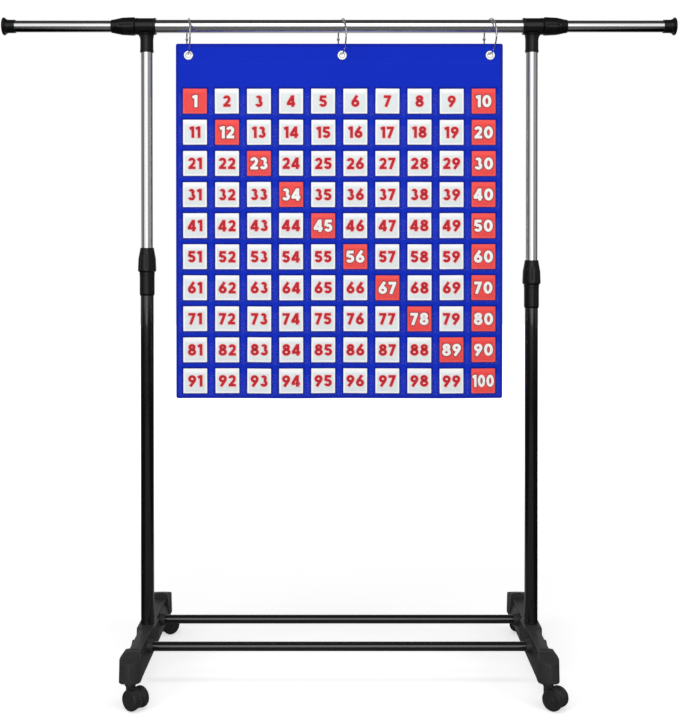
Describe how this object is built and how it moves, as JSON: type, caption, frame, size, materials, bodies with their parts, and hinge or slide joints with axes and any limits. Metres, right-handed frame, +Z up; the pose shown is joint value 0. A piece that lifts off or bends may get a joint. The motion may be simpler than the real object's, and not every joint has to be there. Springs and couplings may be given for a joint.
{
  "type": "hundred pocket chart with rolling stand",
  "caption": "Cloth pocket chart with number cards in clear pockets, hung by hinged rings from the telescoping bar of a height-adjustable rolling stand.",
  "frame": {"origin": "on the floor, midway between the four casters", "axes": "+Z up, +X along the bar to the viewer's right, the chart faces -Y"},
  "size_m": [1.44, 0.4664, 1.3955],
  "materials": {
    "black_plastic": "satin",
    "wheel_plastic": "satin",
    "black_paint": "gloss",
    "chrome": "polished",
    "steel": "satin",
    "grommet_metal": "satin",
    "blue_cloth": "woven",
    "card": "matte",
    "pocket_film": "clear film"
  },
  "bodies": {
    "base": {"foot_left": "black_plastic", "foot_right": "black_plastic", "cross_rod_front": "black_paint", "cross_rod_rear": "black_paint", "lower_pole_left": "black_paint", "lower_pole_right": "black_paint", "height_sleeve_left": "black_plastic", "height_sleeve_right": "black_plastic", "grip_collet_left": "steel", "grip_collet_right": "steel"},
    "top_frame": {"bar_main": "chrome", "tee_left": "black_plastic", "tee_right": "black_plastic", "upper_pole_left": "chrome", "upper_pole_right": "chrome"},
    "height_knob_left": {"height_knob_left": "black_plastic"},
    "height_knob_right": {"height_knob_right": "black_plastic"},
    "bar_knob_left": {"bar_knob_left": "black_plastic"},
    "bar_extension_left": {"bar_extension_left": "chrome", "end_cap_left": "black_plastic"},
    "bar_knob_right": {"bar_knob_right": "black_plastic"},
    "bar_extension_right": {"bar_extension_right": "chrome", "end_cap_right": "black_plastic"},
    "rings": {"ring_lower_left": "chrome", "ring_lower_centre": "chrome", "ring_lower_right": "chrome"},
    "ring_upper_left": {"ring_upper_left": "chrome"},
    "ring_upper_centre": {"ring_upper_centre": "chrome"},
    "ring_upper_right": {"ring_upper_right": "chrome"},
    "chart": {"chart_panel": "blue_cloth", "clear_pockets": "pocket_film", "number_cards_001_010": "card", "number_cards_011_020": "card", "number_cards_021_030": "card", "number_cards_031_040": "card", "number_cards_041_050": "card", "number_cards_051_060": "card", "number_cards_061_070": "card", "number_cards_071_080": "card", "number_cards_081_090": "card", "number_cards_091_100": "card", "grommet_left": "grommet_metal", "grommet_centre": "grommet_metal", "grommet_right": "grommet_metal"},
    "caster_front_left": {"caster_hood_front_left": "black_plastic", "caster_stem_front_left": "steel"},
    "wheel_front_left_a": {"caster_wheel_front_left_a": "wheel_plastic"},
    "wheel_front_left_b": {"caster_wheel_front_left_b": "wheel_plastic"},
    "caster_front_right": {"caster_hood_front_right": "black_plastic", "caster_stem_front_right": "steel"},
    "wheel_front_right_a": {"caster_wheel_front_right_a": "wheel_plastic"},
    "wheel_front_right_b": {"caster_wheel_front_right_b": "wheel_plastic"},
    "caster_rear_left": {"caster_hood_rear_left": "black_plastic", "caster_stem_rear_left": "steel"},
    "wheel_rear_left_a": {"caster_wheel_rear_left_a": "wheel_plastic"},
    "wheel_rear_left_b": {"caster_wheel_rear_left_b": "wheel_plastic"},
    "caster_rear_right": {"caster_hood_rear_right": "black_plastic", "caster_stem_rear_right": "steel"},
    "wheel_rear_right_a": {"caster_wheel_rear_right_a": "wheel_plastic"},
    "wheel_rear_right_b": {"caster_wheel_rear_right_b": "wheel_plastic"}
  },
  "joints": [
    {"name": "height_slide", "type": "slide", "parent": "base", "child": "top_frame", "axis": [0, 0, 1], "range_m": [-0.4, 0.14]},
    {"name": "height_knob_left_turn", "type": "hinge", "parent": "base", "child": "height_knob_left", "pos_m": [-0.412, 0, 0.875], "axis": [0, 0, 1], "range_deg": [0, 180]},
    {"name": "height_knob_right_turn", "type": "hinge", "parent": "base", "child": "height_knob_right", "pos_m": [0.412, 0, 0.875], "axis": [0, 0, 1], "range_deg": [0, 180]},
    {"name": "bar_knob_left_turn", "type": "hinge", "parent": "top_frame", "child": "bar_knob_left", "pos_m": [-0.46, 0, 1.3765], "axis": [-1, 0, 0], "range_deg": [0, 180]},
    {"name": "bar_left_slide", "type": "slide", "parent": "top_frame", "child": "bar_extension_left", "axis": [-1, 0, 0], "range_m": [-0.2, 0.06]},
    {"name": "bar_knob_right_turn", "type": "hinge", "parent": "top_frame", "child": "bar_knob_right", "pos_m": [0.46, 0, 1.3765], "axis": [1, 0, 0], "range_deg": [0, 180]},
    {"name": "bar_right_slide", "type": "slide", "parent": "top_frame", "child": "bar_extension_right", "axis": [1, 0, 0], "range_m": [-0.2, 0.06]},
    {"name": "ring_swing", "type": "hinge", "parent": "top_frame", "child": "rings", "pos_m": [0, 0, 1.3765], "axis": [1, 0, 0], "range_deg": [-30, 30]},
    {"name": "ring_left_open", "type": "hinge", "parent": "rings", "child": "ring_upper_left", "pos_m": [-0.33139, 0.03634, 1.3551], "axis": [-0.9744, -0.225, 0], "range_deg": [0, 50]},
    {"name": "ring_centre_open", "type": "hinge", "parent": "rings", "child": "ring_upper_centre", "pos_m": [-0.00239, 0.03634, 1.3551], "axis": [-0.9744, -0.225, 0], "range_deg": [0, 50]},
    {"name": "ring_right_open", "type": "hinge", "parent": "rings", "child": "ring_upper_right", "pos_m": [0.31461, 0.03634, 1.3551], "axis": [-0.9744, -0.225, 0], "range_deg": [0, 50]},
    {"name": "chart_swing", "type": "hinge", "parent": "rings", "child": "chart", "pos_m": [0, 0, 1.3178], "axis": [1, 0, 0], "range_deg": [-15, 15]},
    {"name": "caster_front_left_swivel", "type": "hinge", "parent": "base", "child": "caster_front_left", "pos_m": [-0.412, -0.197, 0.05], "axis": [0, 0, 1], "continuous": true},
    {"name": "wheel_front_left_a_spin", "type": "hinge", "parent": "caster_front_left", "child": "wheel_front_left_a", "pos_m": [-0.39983, -0.20739, 0.021], "axis": [0.6494, 0.7604, 0], "continuous": true},
    {"name": "wheel_front_left_b_spin", "type": "hinge", "parent": "caster_front_left", "child": "wheel_front_left_b", "pos_m": [-0.39983, -0.20739, 0.021], "axis": [0.6494, 0.7604, 0], "continuous": true},
    {"name": "caster_front_right_swivel", "type": "hinge", "parent": "base", "child": "caster_front_right", "pos_m": [0.412, -0.197, 0.05], "axis": [0, 0, 1], "continuous": true},
    {"name": "wheel_front_right_a_spin", "type": "hinge", "parent": "caster_front_right", "child": "wheel_front_right_a", "pos_m": [0.42417, -0.20739, 0.021], "axis": [0.6494, 0.7604, 0], "continuous": true},
    {"name": "wheel_front_right_b_spin", "type": "hinge", "parent": "caster_front_right", "child": "wheel_front_right_b", "pos_m": [0.42417, -0.20739, 0.021], "axis": [0.6494, 0.7604, 0], "continuous": true},
    {"name": "caster_rear_left_swivel", "type": "hinge", "parent": "base", "child": "caster_rear_left", "pos_m": [-0.412, 0.197, 0.05], "axis": [0, 0, 1], "continuous": true},
    {"name": "wheel_rear_left_a_spin", "type": "hinge", "parent": "caster_rear_left", "child": "wheel_rear_left_a", "pos_m": [-0.39983, 0.20739, 0.021], "axis": [-0.6494, 0.7604, 0], "continuous": true},
    {"name": "wheel_rear_left_b_spin", "type": "hinge", "parent": "caster_rear_left", "child": "wheel_rear_left_b", "pos_m": [-0.39983, 0.20739, 0.021], "axis": [-0.6494, 0.7604, 0], "continuous": true},
    {"name": "caster_rear_right_swivel", "type": "hinge", "parent": "base", "child": "caster_rear_right", "pos_m": [0.412, 0.197, 0.05], "axis": [0, 0, 1], "continuous": true},
    {"name": "wheel_rear_right_a_spin", "type": "hinge", "parent": "caster_rear_right", "child": "wheel_rear_right_a", "pos_m": [0.42417, 0.20739, 0.021], "axis": [-0.6494, 0.7604, 0], "continuous": true},
    {"name": "wheel_rear_right_b_spin", "type": "hinge", "parent": "caster_rear_right", "child": "wheel_rear_right_b", "pos_m": [0.42417, 0.20739, 0.021], "axis": [-0.6494, 0.7604, 0], "continuous": true}
  ]
}
